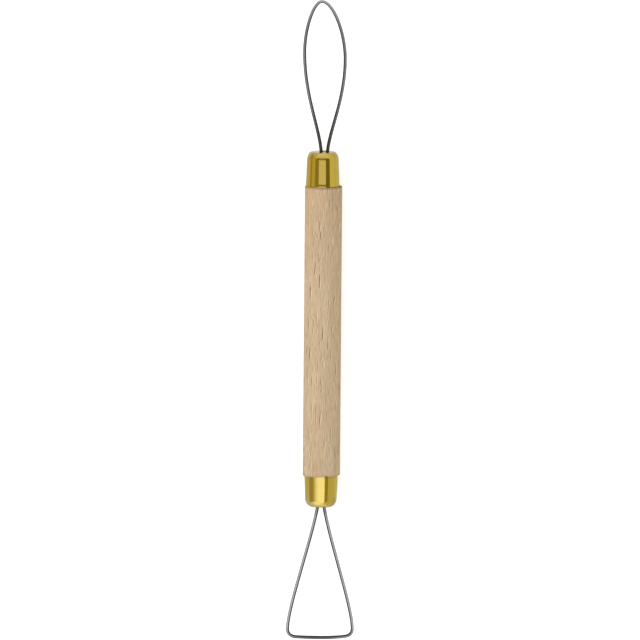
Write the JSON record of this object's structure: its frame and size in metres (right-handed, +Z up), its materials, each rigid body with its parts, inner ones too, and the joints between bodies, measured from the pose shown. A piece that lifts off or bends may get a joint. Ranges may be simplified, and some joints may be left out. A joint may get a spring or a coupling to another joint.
{
  "type": "double-ended loop tool",
  "caption": "Clay trimming tool: a turned beech handle with a brass cap at each end, a teardrop loop of round spring wire in one cap and a triangular loop in the other.",
  "frame": {"origin": "on the surface that the tool lies on, under the middle of its bounding box", "axes": "+Y runs along the handle towards the teardrop loop, +Z is up off the surface, square to the plane of both loops, and +X is across the loops"},
  "size_m": [0.0216, 0.203, 0.0118],
  "materials": {
    "beech": "raw, sanded, with fine dark flecks along the grain",
    "brass": "drawn and polished",
    "spring_steel": "bright drawn round wire, with faint lines along it",
    "adhesive": "set clear amber epoxy"
  },
  "bodies": {
    "root": {"handle": "beech", "upper_ferrule": "brass", "lower_ferrule": "brass", "teardrop_loop": "spring_steel", "triangle_loop": "spring_steel", "upper_glue_plug": "adhesive", "lower_glue_plug": "adhesive"}
  },
  "joints": []
}
